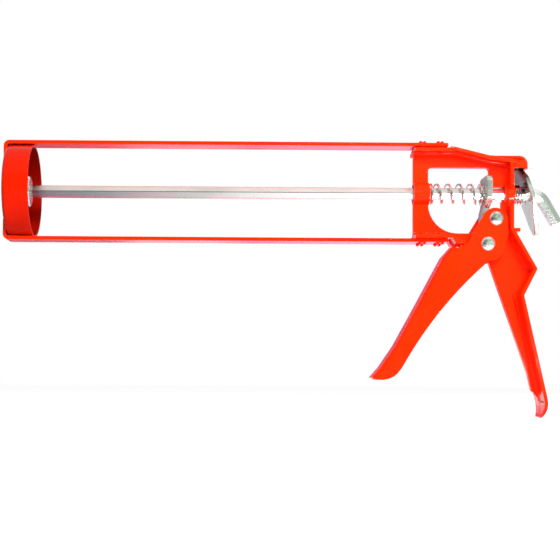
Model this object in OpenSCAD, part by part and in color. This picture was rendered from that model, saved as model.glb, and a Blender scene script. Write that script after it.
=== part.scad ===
// Skeleton caulking gun for round cartridges, gripped and pumped by hand.
// Millimetres. +X runs from the nozzle end to the handle, +Z is up, Y is across.
// The origin is the centre of the nozzle hole, on the front face of the cap.

/* [Cradle] */
// Outer diameter of the front cap
cap_d = 52; // [51:0.5:60]
// Depth of the front cap
cap_depth = 14.7; // [11:0.1:24]
// Sheet thickness of the front cap
cap_sheet = 1.2; // [0.8:0.1:2]
// Diameter of the nozzle hole
nozzle_d = 25; // [16:0.5:30]
// Clear length from the cap's front face to the body
cradle_length = 229; // [200:1:260]
// Width of each rail strap
rail_w = 15; // [13:0.5:20]
// Thickness of each rail strap
rail_t = 2; // [1.5:0.1:3]
// Height of the turned-in lip at a rail's front end
lip_h = 11.6; // [8:0.1:12]
// Outer radius of a rail's front bend
rail_bend_r = 3.2; // [3:0.1:5]
// Overlap of each rail on the body flange
rail_lap = 19; // [17:0.5:20]
// Head diameter of a rail rivet
rail_rivet_head_d = 4.6; // [4:0.1:4.8]
// Shank diameter of a rail rivet
rail_rivet_d = 2.8; // [2:0.1:3]
// Height of a rail rivet's head
rail_rivet_h = 1.1; // [1:0.1:2]
// Outer bend radius of the front cap's rim
cap_bend_r = 2.2; // [1.5:0.1:3]
// Spacing of the rail rivets along the rail
rail_rivet_pitch = 10; // [7:0.5:10.5]

/* [Body] */
// Sheet thickness of the body shells
sheet = 2; // [1.5:0.1:2.4]
// Inner radius of the flange bends
bend_r = 2.3; // [1:0.1:2.6]
// Width of the body across both flanges
body_w = 24; // [23:0.5:28]
// How far the top flange's edges lean inwards
flange_lean = 1.6; // [0:0.1:1.8]
// Width of the front leg
leg_w = 8.4; // [7:0.1:9]
// Distance from the body's front edge to the rear face of the rear leg
body_length = 55.1; // [54.5:0.1:56.5]
// Wall of the rod guides
guide_wall = 2; // [1.5:0.1:2.5]
// Length of the front rod guide
front_guide_length = 9; // [8.5:0.1:11]
// Length of the rear rod guide
rear_guide_length = 5.6; // [5:0.1:7]
// Width of the hook's tongue
hook_w = 16; // [14:0.5:18]
// Outer radius of the hook's bend
hook_r = 4.5; // [3.5:0.1:5.5]
// Distance of the handle's tip below the rod
handle_drop = 127; // [120:1:140]

/* [Rod and piston] */
// Width of the hexagonal rod across its flats
rod_af = 6.6; // [6:0.1:7.4]
// Clearance of the rod's corners in its guides
guide_clearance = 0.65; // [0.3:0.05:0.8]
// Centreline radius of the bend at the rod's pull end
rod_bend_r = 8; // [7:0.5:12]
// Angle of the bend at the rod's pull end
rod_bend_angle = 60; // [45:1:75]
// Straight length of the pull end after its bend
pull_length = 14.5; // [10:0.5:25]
// Diameter of the piston's flange
piston_d = 42; // [36:0.5:46]
// Diameter of the piston's hub
hub_d = 18; // [15:0.5:22]
// Depth of the piston from its flange to the back of its hub
hub_depth = 10.5; // [9:0.1:12]
// Sheet thickness of the piston
piston_sheet = 1.5; // [1:0.1:2]

/* [Trigger] */
// Width of the trigger across its sides
trigger_w = 20; // [19:0.1:20.6]
// Sheet thickness of the trigger
trigger_sheet = 1.5; // [1.2:0.1:1.8]
// Outer radius of the bends along the trigger's front
trigger_bend_r = 2.4; // [2:0.1:3]
// Diameter of the pivot rivet and the pusher rivet
pin_d = 5; // [4:0.1:5.4]
// Diameter of the rivets' domed heads
pin_head_d = 8.4; // [7:0.1:9]
// Height of the rivets' domed heads
pin_head_h = 2.2; // [1.5:0.1:2.5]
// Radial running clearance on the rivets
pin_clearance = 0.06; // [0.03:0.01:0.1]
// Outer diameter of the sleeve on the pusher rivet
sleeve_d = 7.2; // [6.6:0.1:7.6]
// Side gap between pieces stacked along a rivet
stack_gap = 0.15; // [0.1:0.01:0.25]
// Gap between the pusher's sleeve and the drive dog at rest
dog_gap = 0.3; // [0.2:0.05:0.5]

/* [Springs and plates] */
// Thickness of the drive dog
dog_t = 3.5; // [2.5:0.1:3.8]
// Width of the drive dog
dog_w = 22; // [17:0.5:23]
// Height of the drive dog above the rod's axis
dog_top = 9.8; // [8.5:0.1:10.5]
// Outer diameter of the drive spring
drive_spring_d = 12.5; // [12:0.1:12.9]
// Wire diameter of the drive spring
drive_wire_d = 1.6; // [1.3:0.1:1.7]
// Coils in the drive spring
drive_coils = 5.5; // [4:0.5:7]
// Outer diameter of the release spring
release_spring_d = 11.4; // [11.2:0.1:12]
// Wire diameter of the release spring
release_wire_d = 1.1; // [0.9:0.1:1.1]
// Coils in the release spring
release_coils = 3.5; // [2:0.5:3.5]
// Thickness of the release plate
release_t = 2.4; // [2:0.1:2.8]
// Tilt of the release plate's upper part
release_tilt = 18.6; // [16:0.1:19]
// Tilt of the release plate's thumb tab
tab_tilt = 12; // [6:0.5:18]
// Greatest width of the release plate
release_w = 28; // [25:0.5:30]

/* [Hidden] */
$fn = 64;
eps = 0.01;
red = [0.96, 0.16, 0.03];
zinc = [0.78, 0.79, 0.78];
steel = [0.62, 0.63, 0.64];

// The body's places along the rod
body_x = cradle_length;
rail_z = cap_d / 2;
rear_x = body_x + body_length;
bend_out = bend_r + sheet;
section_lap = 1.5;
guide_r = rod_af / sqrt(3) + guide_clearance;
guide_out = guide_r + guide_wall;
rear_guide_end = rear_x + 1.9;
rear_guide_x = rear_guide_end - rear_guide_length;
front_guide_end = body_x + front_guide_length;
rail_rivet_x = body_x + 4.6;
rail_rivet_y = rail_w / 2 - rail_rivet_head_d / 2;
rail_rivet_slot = rail_rivet_head_d / 4;

// The pivot, and the pusher pin above and behind it
pivot = [rear_x - 14.3, -rail_z - 3];
pusher_arm = 15.1;
pusher_angle = 18.6;
pusher = pivot + pusher_arm * [sin(pusher_angle), cos(pusher_angle)];
boss_r = 9.2;
spacer_r = 4.2;

// The drive dog, its foot just clear of the pusher's sleeve
dog_set = 1.8;
dog_rear = pusher[0] - sleeve_d / 2 - dog_gap + dog_set;
dog_front = dog_rear - dog_t;

// The flange paths, clockwise as seen from the right-hand side
step_x = body_x + 20.2;
top_path = [
    [body_x, rail_z], [step_x, rail_z], [step_x + 1.1, rail_z + 0.8],
    [rear_x - 10.9, rail_z - 4.7], [rear_x + 1.4, rail_z - 6.35]
];
elbow = [rear_x, pivot[1] + 8.7];
horn = elbow + [13.1, -22.8];
saddle = horn + [-7.5, -14.9];
foot_r = 15;
foot_angle = 42;
foot_h = 10.8;
grip_slope = 0.227;
grip_end_z = -handle_drop + foot_h;
grip_end = [saddle[0] + grip_slope * (saddle[1] - grip_end_z), grip_end_z];
plate_end = grip_end + 6.2 * [-grip_slope, 1];
rear_path = [[rear_x, rail_z - 7.84], elbow, horn, saddle, plate_end];
drop_z = -rail_z - 3.2;
bottom_path = [
    [body_x + 28, drop_z], [body_x + 22.6, drop_z], [body_x + 20.8, -rail_z], [body_x, -rail_z]
];

// The hook over the release plate, and the edge the plate hangs from
hook_top = rail_z - 5.1;
hook_end = rear_x + 8.4;
hook_bottom = rail_z - 12.7;
hang = [hook_end - sheet - 1.55, hook_bottom + 0.5];
cheek_t = 2.6;
cheek_lap = 1.1;
cheek_z = hook_bottom + 0.6;
cheek_top = hook_top - 2.2;

// The piston and the end of the rod that holds it
piston_x = cap_sheet + 0.8;
hub_x = piston_x + hub_depth;
spigot_d = 5;
washer_t = 1;
washer_r = 5.4;
nut_h = 3.4;
nut_r = 4.6;
rod_r = rod_af / sqrt(3);
rod_bend_x = rear_x + 12.2;

bend_steps = 5;

function unit(v) = v / norm(v);
function turned(v) = [-v[1], v[0]];
function heading(path, i) = unit(path[i + 1] - path[i]);

// The outward mitre at point i of a path, for a depth of 1
function mitre(path, i) =
    let (last = len(path) - 1)
    let (before = i == 0 ? heading(path, 0) : heading(path, i - 1))
    let (after = i == last ? heading(path, last - 1) : heading(path, i))
    let (across = unit(turned(before) + turned(after)))
    across / (across * turned(after));

// A path moved outwards by a distance
function moved(path, distance) =
    [for (i = [0:len(path) - 1]) path[i] + distance * mitre(path, i)];

// Points of an arc about a centre, both ends included
function arc(centre, r, from, to, steps = 8) =
    [for (i = [0:steps]) let (a = from + (to - from) * i / steps) centre + r * [cos(a), sin(a)]];

// The foot's curl, a tangent arc from the end of the grip
foot_out = turned(unit([grip_slope, -1]));
foot_turn = atan2(foot_out[1], foot_out[0]);
foot_curl = arc(grip_end - foot_r * foot_out, foot_r, foot_turn, foot_turn - foot_angle, 7);
foot_path = [for (i = [1:7]) foot_curl[i]];

// Points between two ends on an arc that rises by sag to the left of the line
function bow(from, to, sag, steps = 8) =
    let (chord = to - from, half = norm(chord) / 2, r = (half * half + sag * sag) / (2 * sag))
    let (centre = (from + to) / 2 + turned(unit(chord)) * (sag - r))
    let (a0 = atan2(from[1] - centre[1], from[0] - centre[0]), swing = 2 * asin(half / r))
    [for (i = [0:steps]) centre + abs(r) * [
        cos(a0 - swing * i / steps), sin(a0 - swing * i / steps)
    ]];

// A side-view outline made solid from y0 to y1
module side(y0, y1) {
    translate([0, y1, 0]) rotate([90, 0, 0]) linear_extrude(y1 - y0) children();
}

// Sections swept along a path with mitred corners, one at each point of the path.
// A section is a list of points, x outwards from the path and y across. It runs up its
// outer side, and its two halves face each other like the sides of a ribbon.
module swept(path, sections) {
    n = len(sections[0]);
    last = len(path) - 1;
    points = [for (i = [0:last]) let (out = mitre(path, i))
        for (p = sections[i]) [path[i][0] + p[0] * out[0], p[1], path[i][1] + p[0] * out[1]]];
    walls = [for (i = [0:last - 1], j = [0:n - 1])
        let (a = i * n + j, b = i * n + (j + 1) % n)
        each [[a, b, b + n], [a, b + n, a + n]]];
    cap = [for (j = [0:n / 2 - 2]) [j, j + 1, n - 2 - j, n - 1 - j]];
    far = [for (q = cap) [for (v = q) last * n + v]];
    near = [for (q = cap) [q[3], q[2], q[1], q[0]]];
    polyhedron(points, concat(walls, near, far));
}

// Round bar or tube across the body, along Y
module across(centre, r, y0, y1) {
    translate([centre[0], y0, centre[1]]) rotate([-90, 0, 0]) cylinder(r = r, h = y1 - y0);
}

// Round bar along the rod's axis
module along(x0, x1, r) {
    translate([x0, 0, 0]) rotate([0, 90, 0]) cylinder(r = r, h = x1 - x0);
}

module front_cap() {
    r = cap_d / 2;
    inner = cap_bend_r - cap_sheet;
    color(red) rotate([0, 90, 0]) rotate_extrude() {
        translate([nozzle_d / 2, 0]) square([r - cap_bend_r - nozzle_d / 2, cap_sheet]);
        translate([r - cap_sheet, cap_bend_r]) square([cap_sheet, cap_depth - cap_bend_r]);
        translate([r - cap_bend_r, cap_bend_r]) intersection() {
            difference() {
                circle(cap_bend_r);
                circle(inner);
            }
            translate([0, -cap_bend_r]) square(cap_bend_r);
        }
    }
}

// A strap along the top of the cradle, with its lip in front of the cap
module rail() {
    inner = rail_bend_r - rail_t;
    top = rail_z + rail_t;
    difference() {
        side(-rail_w / 2, rail_w / 2) {
            translate([inner, rail_z]) square([body_x + rail_lap - inner, rail_t]);
            translate([-rail_t, top - lip_h]) square([rail_t, lip_h - rail_bend_r]);
            translate([inner, top - rail_bend_r]) intersection() {
                difference() {
                    circle(rail_bend_r);
                    circle(inner);
                }
                translate([-rail_bend_r, 0]) square(rail_bend_r);
            }
        }
        rail_rivet_holes();
    }
}

// Places of the four rivets on one rail, at the rail's inner face
module rail_rivet_places() {
    for (i = [0:1], s = [-1, 1])
        translate([rail_rivet_x + i * rail_rivet_pitch, s * rail_rivet_y, rail_z]) children();
}

module rail_rivet_holes() {
    rail_rivet_places() cylinder(r = rail_rivet_d / 2 + pin_clearance, h = 20, center = true);
}

module top_rail() {
    color(red) rail();
}

module bottom_rail() {
    color(red) mirror([0, 0, 1]) rail();
}

// One clinched rivet, its head split into four lobes
module rail_rivet() {
    tail_z = -sheet - flange_lean;
    difference() {
        union() {
            translate([0, 0, tail_z]) cylinder(r = rail_rivet_d / 2, h = rail_t - tail_z + eps);
            translate([0, 0, rail_t])
                cylinder(r1 = rail_rivet_head_d / 2, r2 = rail_rivet_head_d / 2 - 0.35, h = rail_rivet_h);
        }
        for (a = [0, 90])
            rotate([0, 0, a]) translate([-rail_rivet_head_d, -rail_rivet_slot / 2, rail_t + 0.4])
                cube([2 * rail_rivet_head_d, rail_rivet_slot, rail_rivet_h]);
    }
}

module top_rail_rivets() {
    color(red) rail_rivet_places() rail_rivet();
}

module bottom_rail_rivets() {
    color(red) mirror([0, 0, 1]) rail_rivet_places() rail_rivet();
}

// Section of a shell's flange and its bend, y from the seam between the shells
function shell_section(lean = 0) =
    let (half = body_w / 2, centre = [-bend_out, bend_out])
    concat(
        [[-lean - sheet, half]], arc(centre, bend_r, 0, -90, bend_steps),
        [[-bend_out - section_lap, sheet], [-bend_out - section_lap, 0]],
        arc(centre, bend_out, -90, 0, bend_steps), [[-lean, half]]
    );

// The same points on a flat strip without a bend
function strip_section() =
    let (half = body_w / 2, edge = 0.4, run = bend_out - edge)
    concat(
        [[-sheet, half]], [for (k = [0:bend_steps]) [-sheet, bend_out - run * k / bend_steps]],
        [[edge - sheet, 0], [-edge, 0]],
        [for (k = [0:bend_steps]) [0, edge + run * k / bend_steps]], [[0, half]]
    );

function alike(path, section) = [for (p = path) section];

// The flange up the rear leg and down the handle, which curls forwards at the foot
module rear_flange() {
    path = concat(rear_path, [grip_end], foot_path);
    notch_y = guide_out - 1;
    notch_z = [-guide_out - 0.5, guide_out - 2.3];
    drop = -handle_drop + body_w / 2;
    difference() {
        swept(path, concat(
            alike(rear_path, shell_section()), alike(concat([0], foot_path), strip_section())
        ));
        translate([rear_guide_x - 5, notch_y, notch_z[0]])
            cube([20, body_w, notch_z[1] - notch_z[0]]);
        difference() {
            translate([grip_end[0] - 20, -1, drop - body_w]) cube([40, body_w, body_w]);
            translate([grip_end[0] - 21, 0, drop]) rotate([0, 90, 0])
                cylinder(r = body_w / 2, h = 42);
        }
    }
}

// The plate that the flanges stand on
module shell_plate() {
    inset = -bend_out - section_lap / 2;
    top = moved(top_path, inset);
    rear = moved(rear_path, inset);
    bottom = moved(bottom_path, inset);
    corner = top[3] + (rear[0][0] - top[3][0]) / (top[4][0] - top[3][0]) * (top[4] - top[3]);
    side(0, sheet) polygon(concat(
        [[body_x, top[0][1]]], [for (i = [1:3]) top[i]],
        [corner], [for (i = [1:3]) rear[i]],
        [plate_end + [inset, 2], plate_end + [inset - 0.5, 2]],
        arc(pivot, boss_r, -80, -178),
        [[body_x + 30, -rail_z - 1.5]],
        [for (i = [1:2]) bottom[i]],
        [[body_x, bottom[3][1]]]
    ));
}

// The opening in the plate round the springs, the dog and the pusher
module window() {
    x0 = body_x + leg_w;
    x1 = rear_x - 12.1;
    corner_r = 2.2;
    x2 = dog_rear + 0.6;
    x3 = rear_x - 5.1;
    top = rail_z - 11.1;
    step_z = dog_top + 0.9;
    mouth_z = 4.1;
    floor_z = pivot[1] + boss_r;
    low_z = floor_z - 2.6;
    polygon(concat(
        arc([x1 - corner_r, top - corner_r], corner_r, 90, 0, 5), [[x1, step_z], [x2, step_z]],
        [[x2, mouth_z], [x3, mouth_z]], arc([x3 - 2, floor_z + 2], 2, 0, -90, 4),
        [[x0 + 28, floor_z], [x0 + 24.5, low_z]],
        bow([x0 + 16, low_z], [x0, -6], 4.6), arc([x0 + 2, top - 2], 2, 180, 90, 4)
    ));
}

// The half-round guides that hold the rod between the shells
module shell_guides() {
    intersection() {
        union() {
            along(body_x, front_guide_end, guide_out);
            along(rear_guide_x, rear_guide_end, guide_out);
        }
        translate([body_x - 10, 0, -20]) cube([100, 20, 40]);
    }
}

// The tongue that hooks over the release plate, with a cheek on its side
module shell_hook() {
    side(0, hook_w / 2) {
        translate([rear_x - 12, hook_top - sheet])
            square([hook_end - rear_x + 12 - hook_r, sheet]);
        translate([hook_end - hook_r, hook_top - hook_r]) intersection() {
            difference() {
                circle(hook_r);
                circle(hook_r - sheet);
            }
            square(hook_r);
        }
        translate([hook_end - sheet, hook_bottom])
            square([sheet, hook_top - hook_r - hook_bottom]);
    }
    side(hook_w / 2 - cheek_lap, hook_w / 2 - cheek_lap + cheek_t) polygon([
        [hook_end - 0.3, cheek_z], [rear_x + 0.5, cheek_z], [rear_x + 0.5, cheek_top],
        [hook_end - 2.2, cheek_top - 0.7], [hook_end - 0.3, cheek_top - 2.5]
    ]);
}

// The short lug behind the elbow of the rear leg
module shell_lug() {
    y0 = 6;
    length = 3.5;
    translate([rear_x - sheet / 2, y0, elbow[1] - 2])
        cube([length + sheet / 2, body_w / 2 - y0, sheet]);
}

module shell() {
    difference() {
        union() {
            difference() {
                union() {
                    rear_flange();
                    swept(top_path, alike(top_path, shell_section(flange_lean)));
                    swept(bottom_path, alike(bottom_path, shell_section()));
                    shell_plate();
                }
                side(-1, sheet + 0.6) window();
            }
            shell_guides();
            shell_hook();
            shell_lug();
        }
        along(body_x - 1, rear_guide_end + 1, guide_r);
        across(pivot, pin_d / 2 + pin_clearance, -1, sheet + 1);
        rail_rivet_holes();
        mirror([0, 0, 1]) rail_rivet_holes();
    }
}

module body_shell_left() {
    color(red) shell();
}

module body_shell_right() {
    color(red) mirror([0, 1, 0]) shell();
}

module plunger_rod() {
    bend_centre = [rod_bend_x, -rod_bend_r];
    bend = arc(bend_centre, rod_bend_r, 90, 90 - rod_bend_angle, 10);
    down = [cos(rod_bend_angle), -sin(rod_bend_angle)];
    hexagon = [for (i = [0:5]) rod_r * [-sin(60 * i), cos(60 * i)]];
    path = concat([[hub_x, 0]], bend, [bend[10] + pull_length * down]);
    color(steel) {
        along(hub_x - piston_sheet - washer_t - nut_h - 1, hub_x + 1, spigot_d / 2);
        swept(path, alike(path, hexagon));
    }
}

module piston() {
    color(zinc) difference() {
        union() {
            along(piston_x, piston_x + piston_sheet, piston_d / 2);
            along(piston_x, hub_x, hub_d / 2);
        }
        along(piston_x - 1, hub_x - piston_sheet, hub_d / 2 - piston_sheet);
        along(piston_x, hub_x + 1, spigot_d / 2 + pin_clearance);
    }
}

module piston_washer() {
    x1 = hub_x - piston_sheet;
    color(zinc) difference() {
        along(x1 - washer_t, x1, washer_r);
        along(x1 - washer_t - 1, x1 + 1, spigot_d / 2 + pin_clearance);
    }
}

module piston_nut() {
    x1 = hub_x - piston_sheet - washer_t;
    color(zinc) difference() {
        translate([x1 - nut_h, 0, 0]) rotate([0, 90, 0])
            cylinder(r = nut_r, h = nut_h, $fn = 6);
        along(x1 - nut_h - 1, x1 + 1, spigot_d / 2 + pin_clearance);
    }
}

// A coil spring along X as one swept wire, its far end leaning by tilt
module coil(x0, x1, outer_d, wire_d, coils, tilt = 0) {
    sides = 6;
    steps = 14;
    rings = round(coils * steps);
    mean_r = (outer_d - wire_d) / 2;
    rise = x1 - x0 - wire_d;
    function ring(k) =
        let (a = 360 * k / steps, share = k / rings)
        let (x = x0 + wire_d / 2 + rise * share)
        [for (j = [0:sides - 1])
            let (b = 360 * j / sides, r = mean_r + wire_d / 2 * cos(b))
            [x + wire_d / 2 * sin(b) - share * r * sin(a) * tan(tilt), r * cos(a), r * sin(a)]];
    points = [for (k = [0:rings]) each ring(k)];
    walls = [for (k = [0:rings - 1], j = [0:sides - 1])
        let (n = (j + 1) % sides)
        each [
            [k * sides + j, (k + 1) * sides + j, (k + 1) * sides + n],
            [k * sides + j, (k + 1) * sides + n, k * sides + n]
        ]];
    ends = [
        [for (j = [0:sides - 1]) j],
        [for (j = [0:sides - 1]) rings * sides + sides - 1 - j]
    ];
    polyhedron(points, concat(walls, ends));
}

module drive_spring() {
    color(steel) coil(front_guide_end + 0.2, dog_front - 0.2, drive_spring_d, drive_wire_d, drive_coils);
}

// The plate that bites the rod, its foot set forwards for the pusher
module drive_dog() {
    half = dog_w / 2;
    foot_half = 5.5;
    foot_z = pusher[1] - 4.2;
    neck_z = pusher[1] + 6.7;
    color(zinc) difference() {
        intersection() {
            side(-half, half) polygon([
                [dog_rear, dog_top], [dog_front, dog_top], [dog_front, neck_z + 3],
                [dog_front - dog_set, neck_z - 3], [dog_front - dog_set, foot_z],
                [dog_rear - dog_set, foot_z], [dog_rear - dog_set, neck_z - 3],
                [dog_rear, neck_z + 3]
            ]);
            translate([dog_front - 10, 0, 0]) rotate([90, 0, 90]) linear_extrude(20)
                polygon(concat(
                    arc([half - 4, dog_top - 4], 4, 0, 90), arc([4 - half, dog_top - 4], 4, 90, 180),
                    [[-half, neck_z + 5], [-foot_half, neck_z]],
                    arc([2 - foot_half, foot_z + 2], 2, 180, 270),
                    arc([foot_half - 2, foot_z + 2], 2, 270, 360),
                    [[foot_half, neck_z], [half, neck_z + 5]]
                ));
        }
        along(dog_front - 5, dog_rear + 5, guide_r);
    }
}

// Outer face of the trigger's front, from its toe up
trigger_path = [
    pivot + [-68, -78.8], pivot + [-60, -69.7], pivot + [-51.6, -57.3], pivot + [-41.4, -38.7],
    pivot + [-24.5, -7.1], pivot + [-19, -0.8]
];

// Channel section of the trigger's front
function trigger_section() =
    let (half = trigger_w / 2, r = trigger_bend_r, inner = r - trigger_sheet, leg = -r - 1)
    concat(
        [[leg, -half]], arc([-r, r - half], r, -90, 0, bend_steps),
        arc([-r, half - r], r, 0, 90, bend_steps), [[leg, half], [leg, half - trigger_sheet]],
        arc([-r, half - r], inner, 90, 0, bend_steps),
        arc([-r, r - half], inner, 0, -90, bend_steps), [[leg, trigger_sheet - half]]
    );

module trigger_side() {
    front = moved(trigger_path, -trigger_bend_r - 0.5);
    head = pusher + [-0.6, -1.2];
    polygon(concat(
        front,
        bow(pivot + [-15.5, -1], pivot + [-9.2, 4.8], -1.6, 5),
        arc(head, 7.2, 142, -12),
        [pivot + [11.6, 6.2]],
        arc(pivot, 10, -4, -70),
        bow(pivot + [0, -10.1], pivot + [-48.1, -70.1], -3.3, 10),
        [front[0] + [9, 0]]
    ));
}

// What is trimmed off below the trigger's toe
module toe_cut() {
    heel = pivot + [-48.1, -70.1];
    toe = pivot + [-65, -75.4];
    polygon(concat(
        [toe + [-12, 5]], bow(toe, heel, -3.5, 6), [heel + [6, 5], heel + [6, -20], toe + [-12, -15]]
    ));
}

module trigger() {
    half = trigger_w / 2;
    color(red) difference() {
        union() {
            swept(trigger_path, alike(trigger_path, trigger_section()));
            for (s = [0, 1]) mirror([0, s, 0])
                side(half - trigger_sheet, half) trigger_side();
        }
        side(-half - 1, half + 1) toe_cut();
        across(pivot, pin_d / 2 + pin_clearance, -half - 1, half + 1);
        across(pusher, pin_d / 2 + pin_clearance, -half - 1, half + 1);
    }
}

// A rivet across the trigger with two domed heads
module domed_rivet(centre) {
    face = trigger_w / 2 + stack_gap;
    dome_r = (pow(pin_head_d / 2, 2) + pow(pin_head_h, 2)) / (2 * pin_head_h);
    across(centre, pin_d / 2, -face - eps, face + eps);
    for (s = [0, 1]) mirror([0, s, 0]) translate([centre[0], face, centre[1]])
        rotate([-90, 0, 0]) intersection() {
            translate([0, 0, pin_head_h - dome_r]) sphere(dome_r);
            cylinder(r = pin_head_d / 2 + 1, h = pin_head_h + 1);
        }
}

module pivot_rivet() {
    color(zinc) domed_rivet(pivot);
}

module pusher_rivet() {
    color(zinc) domed_rivet(pusher);
}

module pivot_spacers() {
    y0 = sheet + stack_gap;
    y1 = trigger_w / 2 - trigger_sheet - stack_gap;
    color(steel) for (s = [0, 1]) mirror([0, s, 0]) difference() {
        across(pivot, spacer_r, y0, y1);
        across(pivot, pin_d / 2 + pin_clearance, y0 - 1, y1 + 1);
    }
}

module pusher_sleeve() {
    y1 = trigger_w / 2 - trigger_sheet - stack_gap;
    color(steel) difference() {
        across(pusher, sleeve_d / 2, -y1, y1);
        across(pusher, pin_d / 2 + pin_clearance, -y1 - 1, y1 + 1);
    }
}

// Middle of the release plate's thickness, along X, at a height
tab_z = -4;
function plate_x(z) = z > tab_z
    ? hang[0] + (hang[1] - z) * tan(release_tilt)
    : hang[0] + (hang[1] - tab_z) * tan(release_tilt) + (tab_z - z) * tan(tab_tilt);
release_half_x = release_t / cos(release_tilt) / 2;

module release_spring() {
    x1 = plate_x(0) - release_half_x - 0.3;
    color(steel) coil(
        rear_guide_end + 0.1, x1, release_spring_d, release_wire_d, release_coils, release_tilt
    );
}

module release_plate() {
    tip = -23.4;
    tip_r = 4.5;
    waist_z = tab_z - 14;
    neck_half = hook_w / 2 - 1.5;
    neck_z = cheek_z - 0.5;
    half = release_w / 2;
    top = hook_top - sheet - 0.9;
    color(zinc) difference() {
        intersection() {
            side(-half, half) polygon(concat(
                [for (z = [top, tab_z, tip]) [plate_x(z) + release_half_x, z]],
                [for (z = [tip, tab_z, top]) [plate_x(z) - release_half_x, z]]
            ));
            translate([hang[0] - 20, 0, 0]) rotate([90, 0, 90]) linear_extrude(40)
                polygon(concat(
                    [[neck_half, top], [neck_half, neck_z]],
                    arc([half - 4.6, 6.5], 4, 60, 0, 4),
                    [[half, tab_z], [tip_r + 2, waist_z]],
                    arc([0, tip + tip_r], tip_r, -20, -160, 8),
                    [[-tip_r - 2, waist_z], [-half, tab_z]],
                    arc([4.6 - half, 6.5], 4, 180, 120, 4),
                    [[-neck_half, neck_z], [-neck_half, top]]
                ));
        }
        along(hang[0] - 20, hang[0] + 20, guide_r + 0.3);
    }
}

front_cap();
top_rail();
bottom_rail();
body_shell_left();
body_shell_right();
top_rail_rivets();
bottom_rail_rivets();
plunger_rod();
piston();
piston_washer();
piston_nut();
drive_spring();
drive_dog();
trigger();
pivot_rivet();
pivot_spacers();
pusher_rivet();
pusher_sleeve();
release_spring();
release_plate();
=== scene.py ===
"""Skeleton caulking gun: enamelled sheet steel, a bright steel push rod, springs and plates."""

import math

import bmesh
import bpy
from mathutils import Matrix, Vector


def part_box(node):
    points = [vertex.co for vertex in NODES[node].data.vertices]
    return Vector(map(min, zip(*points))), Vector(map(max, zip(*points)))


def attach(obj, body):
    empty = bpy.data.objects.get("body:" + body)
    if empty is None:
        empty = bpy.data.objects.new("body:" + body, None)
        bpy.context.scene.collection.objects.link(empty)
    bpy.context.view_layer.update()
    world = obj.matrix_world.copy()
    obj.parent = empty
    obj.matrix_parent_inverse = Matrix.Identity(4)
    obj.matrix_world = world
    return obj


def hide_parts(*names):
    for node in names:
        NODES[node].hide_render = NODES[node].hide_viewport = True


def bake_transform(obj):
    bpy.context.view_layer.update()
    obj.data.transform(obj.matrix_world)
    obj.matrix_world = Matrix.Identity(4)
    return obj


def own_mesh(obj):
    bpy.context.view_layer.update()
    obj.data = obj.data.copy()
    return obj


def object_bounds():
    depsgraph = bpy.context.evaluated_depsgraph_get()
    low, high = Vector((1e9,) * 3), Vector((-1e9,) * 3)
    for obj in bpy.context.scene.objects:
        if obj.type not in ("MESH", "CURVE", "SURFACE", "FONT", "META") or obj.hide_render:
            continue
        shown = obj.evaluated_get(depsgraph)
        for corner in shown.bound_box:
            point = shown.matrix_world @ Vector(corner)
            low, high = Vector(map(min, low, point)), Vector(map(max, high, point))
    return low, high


bl_info = {
    "name": "Skeleton caulking gun",
    "version": (1, 0, 0),
    "blender": (4, 5, 0),
    "location": "3D View > Sidebar > Caulking gun",
    "description": "Models and finishes the pieces of a skeleton caulking gun, and its studio",
    "category": "Object",
}

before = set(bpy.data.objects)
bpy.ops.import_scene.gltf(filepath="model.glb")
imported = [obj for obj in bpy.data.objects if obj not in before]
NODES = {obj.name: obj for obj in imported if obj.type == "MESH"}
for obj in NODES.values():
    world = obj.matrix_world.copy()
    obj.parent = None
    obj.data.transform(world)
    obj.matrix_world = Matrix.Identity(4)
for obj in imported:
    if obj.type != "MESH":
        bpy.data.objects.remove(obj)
CAD_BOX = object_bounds()


# Gap below which points of a seam or a pole are one, in metres
SEAM = 0.000002
# Gap below which a vertex of a chain is the point asked for
SAME_POINT = 1e-7
# Pitch of closed coils, in wire diameters
CLOSED_PITCH = 1.02
# Radius of the bores of the bushes, the piston and its washer
BORE = 0.00256
# Lean of the release plate, which the release spring's far end follows
RELEASE_LEAN = math.radians(18.6)
# Exponents of the rivets' domes, across and along; 2 and 0.5 would give an ellipse
DOME_POWERS = (3, 0.6)
# Painted shade: tints for the inside of the cap and the upper part of the release plate, where
# the lighting alone doesn't darken enough; the second also paints a reflection of the red body
INSIDE_SHADE_TINT = (0.42, 0.30, 0.30)
UPPER_SHADE_TINT = (0.13, 0.05, 0.065)
# Height of the cards on the floor above the lowest point of the part
CARD_LIFT = 0.0006
# How far the floor lies under the part
FLOOR_DROP = 0.0002
# Points that the lamps aim at: the middle of the gun and its grip
GUN_AIM = (0.18, 0, -0.03)
GRIP_AIM = (0.3, 0, -0.03)
# The camera's place in metres, its turn in degrees and its shift in widths of the frame
CAMERA_PLACE = (0.1287, -0.7116, -0.1064)
CAMERA_TURN = (91.519, -0.318, -0.511)
CAMERA_SHIFT = (0.06, 0.12)
CAMERA_SENSOR = 36.0


# ---------------------------------------------------------------- sizes and colours


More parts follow.
